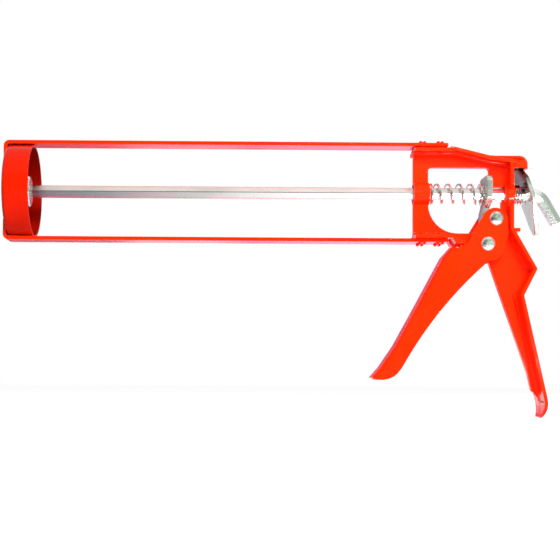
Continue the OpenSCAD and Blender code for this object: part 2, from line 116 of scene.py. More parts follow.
class GunSizes(bpy.types.PropertyGroup):
    sheet_edge: bpy.props.FloatProperty(
        name="Sheet edge rounding", description="Rounding of the enamelled sheets' edges",
        default=0.0003, min=0.0001, max=0.0005, precision=5, unit="LENGTH",
    )
    rail_edge: bpy.props.FloatProperty(
        name="Rail edge rounding", description="Rounding of the rail straps' edges",
        default=0.0004, min=0.0001, max=0.0008, precision=5, unit="LENGTH",
    )
    plate_edge: bpy.props.FloatProperty(
        name="Plate edge rounding",
        description="Rounding of the dog's and the release plate's edges",
        default=0.0005, min=0.0001, max=0.0008, precision=5, unit="LENGTH",
    )
    rod_edge: bpy.props.FloatProperty(
        name="Rod edge rounding", description="Rounding of the hexagonal rod's corners",
        default=0.0004, min=0.0001, max=0.0008, precision=5, unit="LENGTH",
    )
    drive_wire: bpy.props.FloatProperty(
        name="Drive spring wire", description="Wire diameter of the drive spring",
        default=0.0013, min=0.0010, max=0.0017, precision=5, unit="LENGTH",
    )
    drive_coils: bpy.props.FloatProperty(
        name="Drive spring coils", description="Open coils of the drive spring",
        default=4.3, min=3.0, max=7.0,
    )
    release_wire: bpy.props.FloatProperty(
        name="Release spring wire", description="Wire diameter of the release spring",
        default=0.0010, min=0.0007, max=0.0012, precision=5, unit="LENGTH",
    )
    release_coils: bpy.props.FloatProperty(
        name="Release spring coils", description="Open coils of the release spring",
        default=2.1, min=1.0, max=3.5,
    )
    rivet_edge: bpy.props.FloatProperty(
        name="Rail rivet rounding", description="Rounding of the clinched rail rivets' lobes",
        default=0.0002, min=0.00005, max=0.0004, precision=5, unit="LENGTH",
    )
    bush_edge: bpy.props.FloatProperty(
        name="Bush rounding", description="Rounding of the washer's, spacers' and sleeve's edges",
        default=0.0002, min=0.00005, max=0.0004, precision=5, unit="LENGTH",
    )


class GunFinish(bpy.types.PropertyGroup):
    enamel: bpy.props.FloatVectorProperty(
        name="Enamel", description="Colour of the enamel",
        default=(0.92, 0.0150, 0.0003), size=3, subtype="COLOR", min=0.0, max=1.0,
    )
    enamel_deep: bpy.props.FloatVectorProperty(
        name="Deep enamel", description="Colour where the enamel lies thicker",
        default=(0.88, 0.0125, 0.0002), size=3, subtype="COLOR", min=0.0, max=1.0,
    )
    steel: bpy.props.FloatVectorProperty(
        name="Bright steel", description="Colour of the drawn rod",
        default=(0.95, 0.94, 0.93), size=3, subtype="COLOR", min=0.0, max=1.0,
    )
    zinc: bpy.props.FloatVectorProperty(
        name="Zinc plate", description="Colour of the zinc plate",
        default=(0.90, 0.94, 0.89), size=3, subtype="COLOR", min=0.0, max=1.0,
    )
    zinc_dull: bpy.props.FloatVectorProperty(
        name="Dull zinc", description="Colour of the zinc plate where it has dulled",
        default=(0.54, 0.61, 0.56), size=3, subtype="COLOR", min=0.0, max=1.0,
    )
    wire: bpy.props.FloatVectorProperty(
        name="Spring wire", description="Colour of the spring wire",
        default=(0.84, 0.84, 0.84), size=3, subtype="COLOR", min=0.0, max=1.0,
    )


class GunStage(bpy.types.PropertyGroup):
    lens: bpy.props.FloatProperty(
        name="Lens", description="Focal length of the camera, in millimetres",
        default=80.93, min=20.0, max=200.0,
    )
    key: bpy.props.FloatProperty(
        name="Key lamp", description="Power of the lamp in front of the gun, in watts",
        default=30.0, min=0.0, max=100.0,
    )
    fill: bpy.props.FloatProperty(
        name="Fill lamp", description="Power of the lamp beyond the handle, in watts",
        default=2.0, min=0.0, max=100.0,
    )
    rear: bpy.props.FloatProperty(
        name="Rear lamp", description="Power of the lamp behind the gun, in watts",
        default=16.0, min=0.0, max=100.0,
    )
    low: bpy.props.FloatProperty(
        name="Low strip", description="Brightness of the small card low in front of the gun",
        default=140.0, min=0.0, max=400.0,
    )
    sky: bpy.props.FloatProperty(
        name="Studio light", description="Mean strength of the soft light from all round",
        default=0.12, min=0.0, max=2.0,
    )


# ---------------------------------------------------------------- ways of working


def pick(*pieces):
    """Selects these pieces alone; the last is active."""
    if bpy.context.object and bpy.context.object.mode != "OBJECT":
        bpy.ops.object.mode_set(mode="OBJECT")
    bpy.ops.object.select_all(action="DESELECT")
    for piece in pieces:
        piece.select_set(True)
        bpy.context.view_layer.objects.active = piece


def named(piece, name):
    """Names the object and its mesh."""
    piece.name = name
    piece.data.name = name
    return piece


def open_edit(piece):
    """Opens a piece in edit mode with all of it selected."""
    pick(piece)
    bpy.ops.object.mode_set(mode="EDIT")
    bpy.ops.mesh.select_all(action="SELECT")


def close_edit():
    """Leaves edit mode."""
    bpy.ops.object.mode_set(mode="OBJECT")


def choose(piece, wanted):
    """Selects the vertices that pass the test, in a piece open in edit mode."""
    bpy.ops.mesh.select_mode(type="VERT")
    bpy.ops.mesh.select_all(action="DESELECT")
    mesh = bmesh.from_edit_mesh(piece.data)
    for vertex in filter(wanted, mesh.verts):
        vertex.select_set(True)
    mesh.select_flush_mode()
    bmesh.update_edit_mesh(piece.data)


def applied(piece, kind, **settings):
    """Adds a modifier with these settings and applies it."""
    modifier = piece.modifiers.new(kind.title(), kind)
    for key, value in settings.items():
        setattr(modifier, key, value)
    pick(piece)
    bpy.ops.object.modifier_apply(modifier=modifier.name)
    return piece


def outward(piece):
    """Closes seams and poles, and turns every face outwards."""
    open_edit(piece)
    bpy.ops.mesh.remove_doubles(threshold=SEAM)
    bpy.ops.mesh.normals_make_consistent(inside=False)
    close_edit()
    return piece


def rounded(piece, width, segments=3, angle=38.0, clamp=False):
    """Rounds the sharp edges of a piece and shades it smooth between them."""
    applied(
        piece, "BEVEL", width=width, segments=segments, limit_method="ANGLE",
        angle_limit=math.radians(angle), use_clamp_overlap=clamp, miter_outer="MITER_ARC",
    )
    return smooth(piece)


def smooth(piece, angle=32.0):
    """Shades a piece smooth below this angle, with large faces kept flat."""
    pick(piece)
    bpy.ops.object.shade_smooth_by_angle(angle=math.radians(angle))
    return applied(piece, "WEIGHTED_NORMAL", weight=60, keep_sharp=True)


def settled(piece):
    """Puts the object at the origin, with its place in its mesh."""
    pick(piece)
    bpy.ops.object.transform_apply(location=True, rotation=True, scale=True)
    return piece


def copied(piece, name, shift):
    """A copy with its own mesh, moved by shift."""
    pick(piece)
    bpy.ops.object.duplicate(linked=False)
    copy = named(bpy.context.object, name)
    bpy.ops.transform.translate(value=shift)
    return settled(copy)


def sheet_from(node, name, merge=0.00004):
    """A copy of a solid with its triangles merged into whole faces, ready for rounding."""
    piece = bpy.data.objects.new(name, NODES[node].data.copy())
    bpy.context.collection.objects.link(piece)
    named(piece, name)
    piece.data.materials.clear()
    pick(piece)
    bpy.ops.mesh.customdata_custom_splitnormals_clear()
    open_edit(piece)
    bpy.ops.mesh.remove_doubles(threshold=merge)
    bpy.ops.mesh.select_all(action="SELECT")
    bpy.ops.mesh.dissolve_limited(angle_limit=math.radians(0.5))
    close_edit()
    return piece


def chain(name, points, closed=False):
    """A line of edges, extruded point by point from a single one."""
    pick()
    bpy.ops.mesh.primitive_plane_add(size=0.001, location=(0, 0, 0))
    piece = named(bpy.context.object, name)
    bpy.ops.object.mode_set(mode="EDIT")
    bpy.ops.mesh.select_mode(type="VERT")
    bpy.ops.mesh.select_all(action="SELECT")
    bpy.ops.mesh.merge(type="CENTER")
    bpy.ops.transform.translate(value=points[0])
    for before, after in zip(points, points[1:]):
        bpy.ops.mesh.extrude_region_move(
            TRANSFORM_OT_translate={"value": Vector(after) - Vector(before)}
        )
    if closed:
        ends = Vector(points[0]), Vector(points[-1])
        choose(piece, lambda v: min((v.co - end).length for end in ends) < SAME_POINT)
        bpy.ops.mesh.edge_face_add()
    close_edit()
    return piece


def filleted(corners, steps=4):
    """Points along corners (a, b, radius) joined by arcs that touch both sides."""
    points = []
    count = len(corners)
    for i, (a, b, radius) in enumerate(corners):
        here = Vector((a, b))
        if radius == 0:
            points.append(here)
            continue
        before = (Vector(corners[i - 1][:2]) - here).normalized()
        after = (Vector(corners[(i + 1) % count][:2]) - here).normalized()
        half = before.angle(after) / 2
        centre = here + (before + after).normalized() * radius / math.sin(half)
        start = here + before * radius / math.tan(half) - centre
        end = here + after * radius / math.tan(half) - centre
        turn = start.angle_signed(end)
        for k in range(steps + 1):
            angle = -turn * k / steps
            c, s = math.cos(angle), math.sin(angle)
            points.append(centre + Vector((start.x * c - start.y * s, start.x * s + start.y * c)))
    return points


def turned(name, profile, axis, centre=(0, 0, 0), steps=64, closed=True):
    """A round piece: a profile of (along, radius) points turned about an axis."""
    if axis == "X":
        points = [Vector((a, 0, r)) for a, r in profile]
    else:
        points = [Vector((0, a, r)) for a, r in profile]
    piece = chain(name, points, closed)
    applied(
        piece, "SCREW", axis=axis, angle=math.tau, steps=steps, render_steps=steps,
        screw_offset=0.0, use_merge_vertices=True, merge_threshold=SEAM,
    )
    pick(piece)
    bpy.ops.transform.translate(value=centre)
    settled(piece)
    return outward(piece)


def coiled(name, ends, mean_radius, wire, open_coils, closed, lean=0.0, around=24):
    """A compression spring along X with closed coils at both ends; the far end may lean."""
    start, stop = ends
    total = open_coils + sum(closed)
    pitch = wire * CLOSED_PITCH
    dead = pitch * closed[0]
    run = (stop - start - wire) - pitch * sum(closed)
    count = round(total * around)
    points = []
    for k in range(count + 1):
        coil = total * k / count
        if coil < closed[0]:
            x = pitch * coil
        elif coil > total - closed[1]:
            x = dead + run + pitch * (coil - (total - closed[1]))
        else:
            x = dead + run * (coil - closed[0]) / open_coils
        angle = math.tau * coil + math.pi / 2
        y, z = mean_radius * math.cos(angle), mean_radius * math.sin(angle)
        tilt = -math.tan(lean) * z * min(1.0, x / (stop - start)) ** 1.5
        points.append(Vector((start + wire / 2 + x + tilt, y, z)))
    piece = chain(name, points)
    pick(piece)
    bpy.ops.object.convert(target="CURVE")
    piece = bpy.context.object
    piece.data.bevel_depth = wire / 2
    piece.data.bevel_resolution = 3
    piece.data.use_fill_caps = True
    pick(piece)
    bpy.ops.object.convert(target="MESH")
    piece = named(bpy.context.object, name)
    outward(piece)
    pick(piece)
    bpy.ops.object.shade_smooth_by_angle(angle=math.radians(50))
    return piece


def domed_rivet(node, name):
    """A rivet across the gun with a flattened dome at each end."""
    low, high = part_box(node)
    centre = (low + high) / 2
    radius, shank, height = (high.z - low.z) / 2, 0.0025, 0.0022
    seat = high.y - height
    across, along = DOME_POWERS
    steps = 12
    half = []
    for k in range(steps + 1):
        share = math.sin(math.pi / 2 * k / steps)
        half.append((seat + height * (1 - share ** across) ** along, radius * share))
    half += [(seat, shank)]
    profile = half + [(-y, r) for y, r in reversed(half)]
    return smooth(turned(name, profile, "Y", (centre.x, 0, centre.z), 56, closed=False), 40.0)


def bush(name, ends, radii, edge, centre):
    """A short tube across the gun with rounded edges."""
    (near, far), (inner, outer) = ends, radii
    corners = [(near, inner), (near, outer), (far, outer), (far, inner)]
    profile = filleted([(*corner, edge) for corner in corners], 3)
    return smooth(turned(name, profile, "Y", (centre[0], 0, centre[2])))


def dressed(piece, material, body, slot, *nodes):
    """Gives a finished piece its material and its body, and hides the solids it stands for; slot
    is not used.
    """
    piece.data.materials.clear()
    piece.data.materials.append(material)
    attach(piece, body)
    if nodes:
        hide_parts(*nodes)
    return piece


# ---------------------------------------------------------------- materials


class Paint:
    """A material's node tree under construction."""

    def __init__(self, name):
        self.material = bpy.data.materials.new(name)
        self.material.use_nodes = True
        self.tree = self.material.node_tree
        self.shader = self.tree.nodes["Principled BSDF"]
        self.place = self.tree.nodes.new("ShaderNodeTexCoord").outputs["Object"]

    def node(self, kind, links=None, **settings):
        """Adds a node; settings are its properties or open inputs, links its fed inputs."""
        node = self.tree.nodes.new(kind)
        for key, value in settings.items():
            if hasattr(node, key):
                setattr(node, key, value)
            else:
                node.inputs[key.replace("_", " ")].default_value = value
        for key, source in (links or {}).items():
            self.tree.links.new(source, node.inputs[key])
        return node

    def stretched(self, scale):
        """The object's coordinates, scaled along each axis."""
        return self.node("ShaderNodeMapping", {"Vector": self.place}, Scale=scale).outputs[0]

    def noise(self, scale, detail=3.0, roughness=0.5, place=None):
        """Noise from 0 to 1 in the object's coordinates."""
        node = self.node("ShaderNodeTexNoise", {"Vector": place or self.place})
        node.inputs["Scale"].default_value = scale
        node.inputs["Detail"].default_value = detail
        node.inputs["Roughness"].default_value = roughness
        return node.outputs["Fac"]

    def spread(self, source, low, high, start=0.3, end=0.7):
        """A value that goes from low to high while the source goes from start to end."""
        node = self.node("ShaderNodeMapRange", {"Value": source})
        values = {"From Min": start, "From Max": end, "To Min": low, "To Max": high}
        for key, value in values.items():
            node.inputs[key].default_value = value
        return node.outputs["Result"]

    def colours(self, source, first, second, start=0.35, end=0.65):
        """A colour that goes from first to second while the source goes from start to end."""
        node = self.node("ShaderNodeValToRGB", {"Fac": source})
        ramp = node.color_ramp
        ramp.elements[0].position, ramp.elements[1].position = start, end
        ramp.elements[0].color = (*first, 1.0)
        ramp.elements[1].color = (*second, 1.0)
        return node.outputs["Color"]

    def blend(self, share, first, second, blend_type="MIX"):
        """Second laid over first, by a share."""
        node = self.node("ShaderNodeMix", data_type="RGBA", blend_type=blend_type)
        self.tree.links.new(share, node.inputs["Factor"])
        self.tree.links.new(first, node.inputs[6])
        self.tree.links.new(second, node.inputs[7])
        return node.outputs[2]

    def multiplied(self, first, second):
        """Two colours multiplied."""
        node = self.node("ShaderNodeMix", data_type="RGBA", blend_type="MULTIPLY")
        node.inputs["Factor"].default_value = 1.0
        self.tree.links.new(first, node.inputs[6])
        self.tree.links.new(second, node.inputs[7])
        return node.outputs[2]

    def bump(self, height, strength, distance, normal=None):
        """A normal raised by a height, on top of another normal if one is given."""
        node = self.node("ShaderNodeBump", {"Height": height})
        node.inputs["Strength"].default_value = strength
        node.inputs["Distance"].default_value = distance
        if normal is not None:
            self.tree.links.new(normal, node.inputs["Normal"])
        return node.outputs["Normal"]

    def feed(self, **sources):
        """Links sources to inputs of the shader."""
        for key, source in sources.items():
            self.tree.links.new(source, self.shader.inputs[key.replace("_", " ")])

    def set(self, **values):
        """Sets constants on inputs of the shader."""
        for key, value in values.items():
            self.shader.inputs[key.replace("_", " ")].default_value = value


def enamel(name="stove_enamel", depth=1.0, inside=None):
    """Stove enamel on pressed steel, glossy, with a slight orange peel; depth darkens it.

    Within the radius inside, about the X axis, the colour is darker still: painted shade inside
    the cap.
    """
    if name in bpy.data.materials:
        return bpy.data.materials[name]
    finish = bpy.context.scene.gun_finish
    paint = Paint(name)
    paint.set(Metallic=0.0, IOR=1.19, Coat_IOR=1.45, Coat_Roughness=0.1)
    cloud = paint.noise(38.0, 4.0, 0.55)
    speck = paint.noise(420.0, 2.0, 0.5)
    deep, light = (tuple(depth * v for v in c) for c in (finish.enamel_deep, finish.enamel))
    tint = paint.colours(cloud, deep, light, 0.34, 0.6)
    fine = paint.colours(speck, tuple(0.985 for _ in range(3)), (1.0, 1.0, 1.0), 0.3, 0.6)
    share = paint.spread(cloud, 0.9, 1.0)
    colour = paint.blend(share, tint, paint.blend(share, tint, fine, "MULTIPLY"))
    # Painted shade: darkens the colour within the radius inside, for the shade inside the cap
    if inside:
        flat = paint.stretched((0.0, 1.0, 1.0))
        across = paint.node("ShaderNodeVectorMath", {0: flat}, operation="LENGTH")
        radius = across.outputs["Value"]
        thin = paint.colours(
            paint.spread(radius, 0.0, 1.0, inside, inside + 0.0006),
            INSIDE_SHADE_TINT, (1.0, 1.0, 1.0), 0.0, 1.0,
        )
        colour = paint.multiplied(colour, thin)
    paint.feed(Base_Color=colour)
    paint.feed(Roughness=paint.spread(paint.noise(95.0, 3.0), 0.12, 0.18))
    facing = paint.node("ShaderNodeLayerWeight", Blend=0.5).outputs["Facing"]
    paint.feed(Coat_Weight=paint.spread(facing, 0.0, 0.5, 0.55, 0.95))
    peel = paint.bump(paint.noise(640.0, 2.0, 0.4), 0.10, 0.0002)
    paint.feed(Normal=paint.bump(paint.noise(90.0, 2.0, 0.5), 0.10, 0.0009, peel))
    return paint.material


def drawn_steel():
    """Drawn steel with faint lines along the bar."""
    if "drawn_steel" in bpy.data.materials:
        return bpy.data.materials["drawn_steel"]
    finish = bpy.context.scene.gun_finish
    paint = Paint("drawn_steel")
    paint.set(Metallic=1.0)
    lines = paint.noise(900.0, 4.0, 0.6, paint.stretched((0.02, 1.0, 1.0)))
    cloud = paint.noise(60.0, 4.0, 0.6, paint.stretched((0.35, 1.0, 1.0)))
    dull = tuple(0.86 * v for v in finish.steel)
    paint.feed(
        Base_Color=paint.colours(cloud, dull, finish.steel, 0.35, 0.6),
        Roughness=paint.spread(lines, 0.22, 0.34),
        Normal=paint.bump(lines, 0.05, 0.00003),
    )
    return paint.material


def zinc_plate(name="mottled_zinc", heights=None, rim=None):
    """Zinc plate on stamped steel, mottled and slightly green.

    Between the two heights the colour passes from bright, below, to a dark warm tint, above:
    painted shade with a painted reflection of the red body;
    the rim, two places along Y, stays bright.
    """
    if name in bpy.data.materials:
        return bpy.data.materials[name]
    finish = bpy.context.scene.gun_finish
    paint = Paint(name)
    paint.set(Metallic=1.0)
    cloud = paint.noise(160.0, 5.0, 0.6)
    speck = paint.noise(1500.0, 3.0, 0.6)
    base = paint.colours(cloud, finish.zinc_dull, finish.zinc, 0.38, 0.62)
    tone = paint.colours(speck, (0.90, 0.92, 0.90), (1.0, 1.0, 1.0), 0.35, 0.6)
    colour = paint.blend(paint.spread(cloud, 0.6, 1.0), base, paint.blend(
        paint.spread(speck, 0.7, 1.0), base, tone, "MULTIPLY"))
    # Painted shade: between the heights the upper part darkens, warm for a painted reflection of
    # the red body
    if heights:
        split = paint.node("ShaderNodeSeparateXYZ", {"Vector": paint.place})
        shade_mask = paint.node("ShaderNodeMath", {
            0: paint.spread(split.outputs["Z"], 0.0, 1.0, *heights),
            1: paint.spread(split.outputs["Y"], 0.0, 1.0, *rim),
        }, operation="MULTIPLY").outputs[0]
        upper_shade = paint.colours(shade_mask, (1.0, 1.0, 1.0), UPPER_SHADE_TINT, 0.0, 1.0)
        colour = paint.multiplied(colour, upper_shade)
    paint.feed(
        Base_Color=colour,
        Roughness=paint.spread(cloud, 0.16, 0.28),
        Normal=paint.bump(speck, 0.12, 0.00005),
    )
    return paint.material


def rivet_zinc():
    """Zinc plate on the domed rivets, in large soft patches."""
    if "domed_zinc" in bpy.data.materials:
        return bpy.data.materials["domed_zinc"]
    finish = bpy.context.scene.gun_finish
    paint = Paint("domed_zinc")
    paint.set(Metallic=1.0)
    patches = paint.noise(420.0, 3.0, 0.65)
    pits = paint.noise(2600.0, 3.0, 0.6)
    base = paint.colours(patches, finish.zinc_dull, finish.zinc, 0.36, 0.60)
    tone = paint.colours(pits, (0.80, 0.86, 0.80), (1.0, 1.0, 1.0), 0.35, 0.6)
    paint.feed(
        Base_Color=paint.blend(paint.spread(pits, 0.6, 1.0), base, paint.blend(
            paint.spread(patches, 0.6, 1.0), base, tone, "MULTIPLY")),
        Roughness=paint.spread(patches, 0.20, 0.34),
        Normal=paint.bump(patches, 0.30, 0.0002),
    )
    return paint.material


def spring_wire():
    """Plated spring wire, drawn and coiled."""
    if "coiled_wire" in bpy.data.materials:
        return bpy.data.materials["coiled_wire"]
    finish = bpy.context.scene.gun_finish
    paint = Paint("coiled_wire")
    paint.set(Metallic=1.0)
    cloud = paint.noise(300.0, 4.0, 0.6)
    dull = tuple(0.72 * v for v in finish.wire)
    paint.feed(
        Base_Color=paint.colours(cloud, dull, finish.wire, 0.35, 0.6),
        Roughness=paint.spread(cloud, 0.10, 0.20),
        Normal=paint.bump(paint.noise(2500.0, 2.0), 0.10, 0.00003),
    )
    return paint.material


# ---------------------------------------------------------------- the pieces


class GUN_OT_front_cap(bpy.types.Operator):
    """Turn the pressed front cap with its nozzle hole"""

    bl_idname = "gun.front_cap"
    bl_label = "Front cap"
    bl_options = {"REGISTER", "UNDO"}

    def execute(self, context):
        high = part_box("front_cap")[1]
        outer, depth, sheet, bend = high.z, high.x, 0.0012, 0.0022
        hole, lip, rim = 0.0125, 0.0003, 0.0004
        profile = filleted([
            (0.0, hole, lip), (0.0, outer, bend), (depth, outer, rim),
            (depth, outer - sheet, rim), (sheet, outer - sheet, bend - sheet),
            (sheet, hole, lip),
        ], 6)
        cap = turned("front_cap_shell", profile, "X", steps=128)
        # The cap's darker enamel, with painted shade inside the cap
        coat = enamel("cap_enamel", depth=0.46, inside=outer - sheet)
        dressed(smooth(cap), coat, "frame", "red_paint", "front_cap")
        return {"FINISHED"}


class GUN_OT_rails(bpy.types.Operator):
    """Round the edges of the two rail straps"""

    bl_idname = "gun.rails"
    bl_label = "Rails"
    bl_options = {"REGISTER", "UNDO"}

    def execute(self, context):
        for node in ("top_rail", "bottom_rail"):
            strap = sheet_from(node, node + "_strap")
            rounded(strap, context.scene.gun_sizes.rail_edge)
            dressed(strap, enamel(), "frame", "red_paint", node)
        return {"FINISHED"}


class GUN_OT_body_shells(bpy.types.Operator):
    """Round the edges of the two pressed body shells"""

    bl_idname = "gun.body_shells"
    bl_label = "Body shells"
    bl_options = {"REGISTER", "UNDO"}

    def execute(self, context):
        for side in ("left", "right"):
            node = "body_shell_" + side
            shell = sheet_from(node, "pressed_shell_" + side)
            rounded(shell, context.scene.gun_sizes.sheet_edge)
            dressed(shell, enamel(), "frame", "red_paint", node)
        return {"FINISHED"}


class GUN_OT_trigger(bpy.types.Operator):
    """Round the edges of the pressed trigger"""

    bl_idname = "gun.trigger"
    bl_label = "Trigger"
    bl_options = {"REGISTER", "UNDO"}

    def execute(self, context):
        lever = sheet_from("trigger", "pressed_trigger")
        rounded(lever, context.scene.gun_sizes.sheet_edge)
        dressed(lever, enamel(), "trigger", "red_paint", "trigger")
        return {"FINISHED"}


class GUN_OT_rod(bpy.types.Operator):
    """Round the corners of the hexagonal push rod"""

    bl_idname = "gun.rod"
    bl_label = "Push rod"
    bl_options = {"REGISTER", "UNDO"}

    def execute(self, context):
        rod = sheet_from("plunger_rod", "hexagonal_rod")
        rounded(rod, context.scene.gun_sizes.rod_edge)
        dressed(rod, drawn_steel(), "plunger", "bright_steel", "plunger_rod")
        return {"FINISHED"}


class GUN_OT_springs(bpy.types.Operator):
    """Coil the drive spring and the release spring"""

    bl_idname = "gun.springs"
    bl_label = "Springs"
    bl_options = {"REGISTER", "UNDO"}

    def execute(self, context):
        sizes = context.scene.gun_sizes
        low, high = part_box("drive_spring")
        mean = (high.y - low.y) / 2 - sizes.drive_wire / 2
        spring = coiled(
            "drive_spring_wire", (low.x, high.x), mean, sizes.drive_wire, sizes.drive_coils,
            closed=(0.61, 0.80),
        )
        dressed(spring, spring_wire(), "frame", "spring_wire", "drive_spring")
        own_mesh(spring)

        low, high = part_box("release_spring")
        mean = (high.y - low.y) / 2 - sizes.release_wire / 2
        reach = mean * math.tan(RELEASE_LEAN)
        spring = coiled(
            "release_spring_wire", (low.x, high.x - reach), mean, sizes.release_wire,
            sizes.release_coils, closed=(0.35, 0.35), lean=RELEASE_LEAN,
        )
        spring.data.materials.clear()
        spring.data.materials.append(spring_wire())
        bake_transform(spring)
        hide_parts("release_spring")
        return {"FINISHED"}


class GUN_OT_plates(bpy.types.Operator):
    """Round the edges of the drive dog and the release plate"""

    bl_idname = "gun.plates"
    bl_label = "Drive dog and release plate"
    bl_options = {"REGISTER", "UNDO"}

    def execute(self, context):
        edge = context.scene.gun_sizes.plate_edge
        dog = rounded(sheet_from("drive_dog", "stamped_dog"), edge)
        dressed(dog, zinc_plate(), "dog", "zinc_plate", "drive_dog")
        plate = rounded(sheet_from("release_plate", "stamped_release_plate"), edge)
        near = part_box("release_plate")[0].y
        # Painted shade and a painted reflection of the red body on the upper part of the release
        # plate
        fade, rim = (-0.001, 0.003), (near + 0.0004, near + 0.0009)
        shade_painted_zinc = zinc_plate("stained_zinc", fade, rim)
        dressed(plate, shade_painted_zinc, "release", "zinc_plate", "release_plate")
        return {"FINISHED"}


class GUN_OT_rivets(bpy.types.Operator):
    """Form the two domed rivets, their bushes and the clinched rail rivets"""

    bl_idname = "gun.rivets"
    bl_label = "Rivets and bushes"
    bl_options = {"REGISTER", "UNDO"}

    def execute(self, context):
        sizes = context.scene.gun_sizes
        for node, body in (("pivot_rivet", "frame"), ("pusher_rivet", "trigger")):
            rivet = domed_rivet(node, "domed_" + node)
            dressed(rivet, rivet_zinc(), body, "rivet_zinc", node)
        edge = sizes.bush_edge
        low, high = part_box("pivot_spacers")
        middle = (low + high) / 2
        length, outer = 0.0062, 0.0042
        near = bush("pivot_spacer_near", (low.y, low.y + length), (BORE, outer), edge, middle)
        far = copied(near, "pivot_spacer_far", (0, high.y - low.y - length, 0))
        for spacer in (near, far):
            dressed(spacer, drawn_steel(), "frame", "bright_steel", "pivot_spacers")
        low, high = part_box("pusher_sleeve")
        sleeve = bush(
            "turned_sleeve", (low.y, high.y), (BORE, (high.z - low.z) / 2), edge,
            (low + high) / 2,
        )
        dressed(sleeve, drawn_steel(), "trigger", "bright_steel", "pusher_sleeve")
        for node in ("top_rail_rivets", "bottom_rail_rivets"):
            clinched = rounded(sheet_from(node, "clinched_" + node), sizes.rivet_edge)
            dressed(clinched, enamel(), "frame", "red_paint", node)
        return {"FINISHED"}


class GUN_OT_piston(bpy.types.Operator):
    """Press the piston, turn its washer and round its nut"""

    bl_idname = "gun.piston"
    bl_label = "Piston"
    bl_options = {"REGISTER", "UNDO"}

    def execute(self, context):
        sizes = context.scene.gun_sizes
        low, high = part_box("piston")
        hub, sheet = 0.009, 0.0015
        profile = filleted([
            (low.x + sheet, high.z, 0.0005), (low.x + sheet, hub, 0.0012), (high.x, hub, 0.0020),
            (high.x, BORE, 0.0002), (high.x - sheet, BORE, 0.0002),
            (high.x - sheet, hub - sheet, 0.0008), (low.x, hub - sheet, 0.0024),
            (low.x, high.z, 0.0005),
        ], 5)
        disc = smooth(turned("pressed_piston", profile, "X", steps=112))
        dressed(disc, zinc_plate(), "plunger", "zinc_plate", "piston")
        low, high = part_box("piston_washer")
        corners = [
            (low.x, BORE), (low.x, high.z), (high.x, high.z), (high.x, BORE),
        ]
        profile = filleted([(*corner, sizes.bush_edge) for corner in corners], 3)
        washer = smooth(turned("turned_washer", profile, "X"))
        dressed(washer, zinc_plate(), "plunger", "zinc_plate", "piston_washer")
        nut = rounded(sheet_from("piston_nut", "hexagonal_nut"), sizes.plate_edge)
        dressed(nut, zinc_plate(), "plunger", "zinc_plate", "piston_nut")
        return {"FINISHED"}


class GUN_OT_stage(bpy.types.Operator):
    """Set up the floor, the lamps and the camera"""

    bl_idname = "gun.stage"
    bl_label = "Stage"
    bl_options = {"REGISTER", "UNDO"}

    def execute(self, context):
        stage = context.scene.gun_stage
        floor_height = CAD_BOX[0][2]
        pick()
        bpy.ops.mesh.primitive_plane_add(size=8.0, location=(0.16, 0, floor_height - FLOOR_DROP))
        floor = settled(named(context.object, "studio_floor"))
        floor.data.materials.append(floor_material())
        lamp("key_lamp", (0.42, -1.00, 0.45), GUN_AIM, (0.5, 0.5), stage.key)
        lamp("rear_lamp", (0.05, 0.95, 0.45), GUN_AIM, (0.8, 0.6), stage.rear)
        lamp("fill_lamp", (0.80, -0.25, 0.25), GRIP_AIM, (0.4, 0.4), stage.fill)
        reflectors(floor_height + CARD_LIFT, stage.low)
        studio_world(stage.sky)
        bpy.ops.object.camera_add(
            location=CAMERA_PLACE, rotation=[math.radians(angle) for angle in CAMERA_TURN]
        )
        camera = context.object
        camera.name = camera.data.name = "studio_camera"
        camera.data.lens = stage.lens
        camera.data.sensor_width = CAMERA_SENSOR
        camera.data.shift_x, camera.data.shift_y = CAMERA_SHIFT
        camera.data.clip_start = 0.01
        context.scene.camera = camera
        view = context.scene.view_settings
        view.view_transform = "Standard"
        return {"FINISHED"}


def lamp(name, place, aim, size, power):
    """A rectangular lamp that points at aim."""
    turn = (Vector(aim) - Vector(place)).to_track_quat("-Z", "Y").to_euler()
    pick()
    bpy.ops.object.light_add(type="AREA", location=place, rotation=turn)
    light = bpy.context.object
    light.name = light.data.name = name
    light.data.shape = "RECTANGLE"
    light.data.size, light.data.size_y = size
    light.data.energy = power
    light.visible_glossy = False


